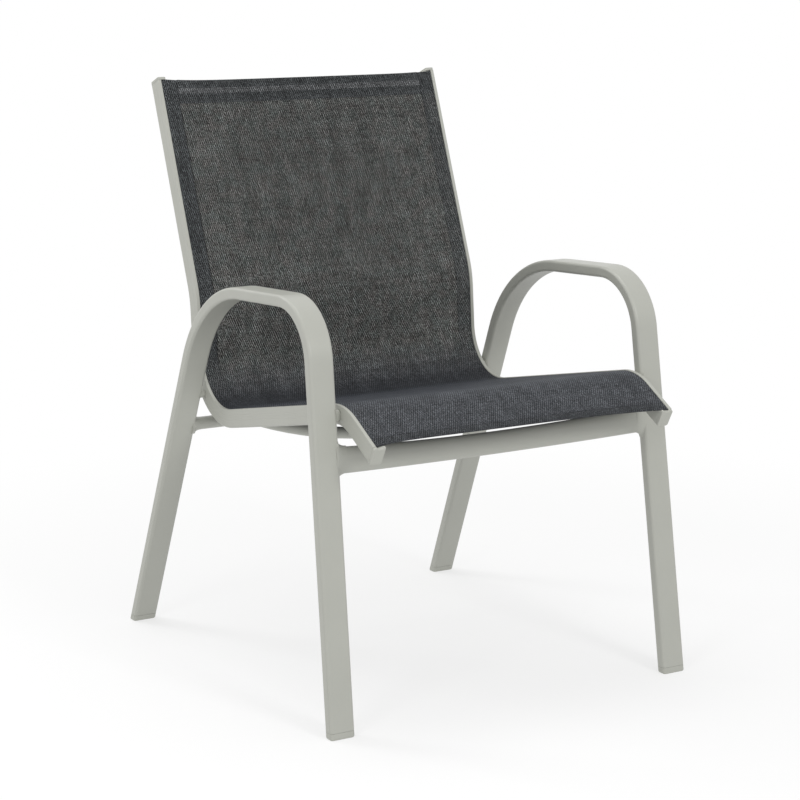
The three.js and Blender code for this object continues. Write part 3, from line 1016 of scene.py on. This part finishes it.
def sling_rail(side):
    """A bent rail, with its slot and channel for the cloth and two grooves down its outer face."""
    bm = bmesh.new()
    point, tangent = face_line.at(0)
    first = outline(bm, on_right(rail_corners()), point, ACROSS, face_normal(tangent))
    close(bm, first, face_line.draw(bm, first))
    to_side(bm, side)
    return even_faces(piece(f"{side}_rail", bm, frame_finish, [f"sling_rail_{side}"]))


def rail_cap(end, side):
    """A plate with a round edge over the rail's end."""
    bm = bmesh.new()
    point, tangent = face_line.at(face_line.length if end == "top" else 0)
    way = tangent if end == "top" else -tangent
    corners = top_cap_corners() if end == "top" else front_cap_corners()
    first = outline(bm, on_right(corners), point + way * cap_seam, ACROSS, face_normal(tangent))
    last = drawn_on(bm, first, way * (cap_thickness - cap_seam))
    close(bm, first, last)
    round_over(bm, last, cap_round)
    to_side(bm, side)
    node = f"rail_{end}_cap_{side}"
    return even_faces(piece(f"{end}_{side}_cap", bm, plastic_finish, [node]))


# The cloth

cloth_length = face_line.length - 2 * cloth_setback
sleeve = rod_radius + layer_gap
sleeve_round = 0.9 * sleeve
sleeve_mouth_round = 0.7 * sleeve
neck = layer_gap / 2 + cloth_thickness / 4
side_hem_line = rail_outer - lip_width - side_hem
flap_half = side_hem_line - flap_inset
fold_reach = fold_radius + cloth_thickness / 2
end_row = 0.006
crease_station = sum(part.length for part in face_line.parts[:3]) + face_line.parts[3].length / 2
sag_change = 0.16

# Half of the cloth's section: from the middle line through the slot, round the rod and back under itself
loop_top, loop_bottom = channel_middle + sleeve, channel_middle - sleeve
half_section = [
    (0, -main_depth), (slot_centre + neck, -main_depth),
    (slot_centre + neck, loop_top), (slot_centre + sleeve, loop_top),
    (slot_centre + sleeve, loop_bottom), (slot_centre - sleeve, loop_bottom),
    (slot_centre - sleeve, loop_top), (slot_centre - neck, loop_top),
    (slot_centre - neck, -main_depth - layer_gap), (side_hem_line, -main_depth - layer_gap),
]
across_line = BentLine(
    [Vector((x, y, 0)) for x, y in half_section],
    [layer_gap, layer_gap, sleeve_mouth_round, sleeve_round, sleeve_round, sleeve_mouth_round,
     layer_gap / 2, layer_gap / 2],
    hem_bend_step,
)


def fading(distance, reach):
    """1 at the end of the cloth, falling smoothly to 0 at this reach from it."""
    return max(0, 1 - distance / reach) ** 2


def fold_place(beyond):
    """How far a flap that goes this far beyond its fold lies past the fold, and how far behind it."""
    turned = beyond / fold_radius
    if turned < math.pi:
        return fold_radius * math.sin(turned), fold_radius * (1 - math.cos(turned))
    return fold_radius * math.pi - beyond, 2 * fold_radius


def sag_at(station):
    """How deep the middle of the cloth hangs: less in the seat than in the back."""
    on_seat = min(1, max(0, 0.5 - (station - crease_station) / sag_change))
    return back_sag + (seat_sag - back_sag) * on_seat ** 2 * (3 - 2 * on_seat)


def cloth_place(across, along, lift=0.0):
    """Where a point of the flat cloth lies, by its distances from its middle line and its front fold."""
    spot, _ = across_line.at(abs(across))
    shown = min(1, spot.x / slot_centre)
    inside = max(0, 1 - (spot.x / rail_inner) ** 2)
    to_front, to_top = along, cloth_length - along
    station = cloth_setback + along
    bow_power = front_bow_powers[-1 if across < 0 else 1]
    station += front_bow * (1 - shown ** bow_power) * fading(max(0, to_front), bow_reach)
    station -= top_bow * (1 - shown ** top_bow_power) * fading(max(0, to_top), bow_reach)
    if across < 0:
        station += top_left_rise * shown ** top_left_power * fading(max(0, to_top), bow_reach)
    behind = 0.0
    if to_front < 0:
        past, behind = fold_place(-to_front)
        station -= to_front + past
    elif to_top < 0:
        past, behind = fold_place(-to_top)
        station += to_top + past
    elif abs(across) > flap_half + touching:
        station += fold_reach * (fading(to_top, end_row) - fading(to_front, end_row))
    hanging = 1 - max(fading(abs(to_front), bow_reach), fading(abs(to_top), bow_reach))
    sag = sag_at(station) * hanging
    ripple = noise.noise(Vector((across, along, 0)) / ripple_length) * cloth_ripple * hanging
    point, tangent = face_line.at(station)
    normal = face_normal(tangent)
    depth = spot.y - behind - inside * (sag - ripple) + lift
    return point + ACROSS * math.copysign(spot.x, across) + normal * depth


def flap_of(rim):
    """The edges of a rim that lie between the side hems, where a flap is folded."""
    return [e for e in rim if all(abs(v.co.x) < flap_half + touching for v in e.verts)]


def stepped_on(bm, rim, marks, forward):
    """Draws a rim of the flat cloth on to each of these distances in turn."""
    last = 0
    for mark in marks:
        rim = drawn_on(bm, rim, (0, forward * (mark - last), 0))
        last = mark
    return rim


def flat_cut(bm):
    """The flat cloth: a strip between the side hems' edges, with a flap to fold at the front and the top.
    Returns its area."""
    near_slot = [flap_half + near_slot_step * i for i in range(near_slot_count)]
    marks = sorted(set(across_line.marks(cloth_step_across) + near_slot))
    marks = [-mark for mark in reversed(marks) if mark > 0] + marks
    verts = [bm.verts.new((mark, 0, 0)) for mark in marks]
    rim = [bm.edges.new(pair) for pair in zip(verts, verts[1:])]
    fold_marks = [fold_radius * math.pi * i / fold_steps for i in range(1, fold_steps + 1)]
    stepped_on(bm, flap_of(rim), fold_marks + [front_hem], -1)
    marks = [mark - cloth_setback for mark in face_line.marks(cloth_step_along)]
    rim = stepped_on(bm, rim, [mark for mark in marks if 0 < mark < cloth_length] + [cloth_length], 1)
    stepped_on(bm, flap_of(rim), fold_marks + [top_hem], 1)
    return 2 * across_line.length * cloth_length + 2 * flap_half * (front_hem + top_hem)


def sling():
    """One sheet from rail to rail, with its side hems closed round the rods and its ends folded behind."""
    bm = bmesh.new()
    area = flat_cut(bm)
    layer = bm.loops.layers.uv.new("flat_cut")
    for face in bm.faces:
        for loop in face.loops:
            loop[layer].uv = loop.vert.co.xy
    for vert in bm.verts:
        vert.co = cloth_place(vert.co.x, vert.co.y)
    made = piece("sling_cloth", bm, cloth_finish, ["sling"], sharp_from=60)
    skin = made.modifiers.new("cloth", "SOLIDIFY")
    skin.thickness = cloth_thickness
    skin.offset = 0
    return made, area


def one_stitch():
    """A stitch that lies along X, as a mesh to copy."""
    bm = bmesh.new()
    bmesh.ops.create_icosphere(bm, subdivisions=1, radius=1)
    bmesh.ops.scale(bm, vec=(stitch_length / 2, stitch_width / 2, stitch_width / 2), verts=bm.verts)
    return mesh_of("one_stitch", bm)


def stitch_row(bm, stitch, start, end, lift):
    """A row of stitches between two points of the flat cloth."""
    start, end = Vector(start), Vector(end)
    way = (end - start).normalized()
    count = int((end - start).length / stitch_pitch)
    for i in range(count):
        middle = start + way * stitch_pitch * (i + 0.5)
        tips = [middle + way * offset for offset in (-stitch_length / 2, stitch_length / 2)]
        ends = [cloth_place(*tip, lift) for tip in tips]
        centre = (ends[0] + ends[1]) / 2
        along = (ends[1] - ends[0]).normalized()
        up = (cloth_place(*middle, lift + stitch_width) - centre).normalized()
        side = up.cross(along).normalized()
        turned = Matrix((along, side, along.cross(side))).transposed().to_4x4()
        place = Matrix.Translation(centre) @ turned
        stitch.transform(place)
        bm.from_mesh(stitch)
        stitch.transform(place.inverted())


def stitching():
    """Rows of stitches along the side, top and front hems, on the face and on the back."""
    bm = bmesh.new()
    stitch = one_stitch()
    rows = []
    for sign in SIDES.values():
        across = sign * (side_hem_line + stitch_inset)
        rows.append(((across, stitch_row_end), (across, cloth_length - stitch_row_end)))
    top_rows = [cloth_length - top_hem_fold, cloth_length - (top_hem - stitch_inset)]
    for along in top_rows + [front_hem - stitch_inset]:
        rows.append(((-side_hem_line, along), (side_hem_line, along)))
    for start, end in rows:
        for lift in (cloth_thickness / 2, -layer_gap - cloth_thickness / 2):
            stitch_row(bm, stitch, start, end, lift)
    bpy.data.meshes.remove(stitch)
    return piece("hem_stitches", bm, thread_finish, sharp_from=80)


# Floor, lights and camera

WHITE = (1, 1, 1, 1)
floor_radius = 9
floor_sides = 96
floor_grey = (0.35, 0.35, 0.35, 1)
floor_glow = 0.52
floor_clear = 0.7
floor_white = 1.6
floor_shade_share = 0.36


def studio_floor():
    """A pale floor that keeps the chair's shadow and turns as white as the room further out. It lights
    the chair from below as evenly as a white floor under many lamps."""
    bm = bmesh.new()
    bmesh.ops.create_circle(bm, cap_ends=True, segments=floor_sides, radius=floor_radius)
    floor = placed("floor", mesh_of("floor", bm))
    finish = Finish("floor_paint", base_color=floor_grey, roughness=1.0, specular_ior_level=0.0,
                    emission_color=WHITE, emission_strength=floor_glow)
    seen = finish.node("LightPath").outputs["Is Camera Ray"]
    glow = finish.node("Emission", {"Color": WHITE, "Strength": 1.0}).outputs[0]
    paint = finish.node("BsdfDiffuse", {"Color": WHITE}).outputs[0]
    distance = finish.node("VectorMath", {0: finish.place()}, operation="LENGTH").outputs["Value"]
    share = finish.spread(distance, 1 - floor_shade_share, 1, floor_clear, floor_white,
                          interpolation_type="SMOOTHSTEP")
    shown = finish.node("MixShader", {0: share, 1: paint, 2: glow}).outputs[0]
    both = finish.node("MixShader", {0: seen, 1: finish.shader.outputs[0], 2: shown}).outputs[0]
    finish.feed(finish.tree.nodes["Material Output"].inputs["Surface"], both)
    floor.data.materials.append(finish.material)


room_light = 0.62


def white_room():
    """Even light all round, and plain white where the camera or a reflection looks past the chair."""
    world = bpy.data.worlds.new("room")
    world.use_nodes = True
    bpy.context.scene.world = world
    nodes = Nodes(world.node_tree)
    path = nodes.node("LightPath").outputs
    seen = nodes.most(*(path[f"Is {ray} Ray"] for ray in ("Camera", "Glossy", "Transmission")))
    background = nodes.tree.nodes["Background"].inputs
    nodes.feed(background["Color"], WHITE)
    nodes.feed(background["Strength"], nodes.spread(seen, room_light, 1))


lamps_look_at = Vector((0, 0, 0.4))


def softbox(name, place, power, size):
    """A square lamp that looks at the middle of the seat."""
    light = bpy.data.lights.new(name, "AREA")
    light.energy = power
    light.size = size
    lamp = placed(name, light)
    lamp.location = place
    lamp.rotation_euler = (lamps_look_at - lamp.location).to_track_quat("-Z", "Y").to_euler()
    lamp.visible_camera = False


camera_place = Vector((-1.7017, -2.9082, 1.059))
camera_azimuth = math.radians(-30.3357)
camera_elevation = math.radians(11.2691)
camera_roll = math.radians(-0.2514)
camera_focal_pixels = 2273.65
picture_pixels = 800
sensor_width = 36


def photo_camera():
    """The camera where it stood for the photo, with its lens."""
    data = bpy.data.cameras.new("camera")
    data.sensor_width = sensor_width
    data.lens = sensor_width * camera_focal_pixels / picture_pixels
    camera = placed("camera", data)
    turned = Matrix.Rotation(camera_azimuth, 4, "Z")
    turned = turned @ Matrix.Rotation(QUARTER_TURN - camera_elevation, 4, "X")
    turned = turned @ Matrix.Rotation(camera_roll, 4, "Z")
    camera.matrix_world = Matrix.Translation(camera_place) @ turned
    bpy.context.scene.camera = camera


# The chair is put together

photo_camera()
frame_finish = powder_coat("powder_coat")
weld_finish = powder_coat("painted_weld", weld_ripple)
plastic_finish = moulded_plastic("moulded_plastic")
rod_finish = extruded_rod("black_rod")
thread_finish = sewing_thread("thread")
cloth_finish = MeshCloth("mesh_cloth", cloth_length, crease_station).material

for side in SIDES:
    side_tube(side)
    foot_glide("front", side, front_foot, front_knee)
    foot_glide("rear", side, rear_foot, rear_knee)
    sling_rail(side)
    for end in ("front", "top"):
        rail_cap(end, side)
    for end in ("front", "rear"):
        weld_spacer(end, side)
    rod = frame["nodes"][f"hem_rod_{side}"]
    rod.data.materials.clear()
    rod.data.materials.append(rod_finish)
front_cross_rail()
rear_cross_rail()
bowed_stretcher()

cloth, cloth_area = sling()
stitches = stitching()

studio_floor()
white_room()
softbox("front_lamp", place=(0.3, -3.2, 2.2), power=26, size=0.7)
softbox("left_lamp", place=(-2.6, -1.7, 1.8), power=13, size=0.8)
softbox("rear_lamp", place=(-1.8, 2.2, 2.2), power=18, size=0.9)
softbox("top_lamp", place=(-0.3, 0.2, 3.4), power=21, size=1.6)

scene = bpy.context.scene
scene.view_settings.view_transform = "Standard"
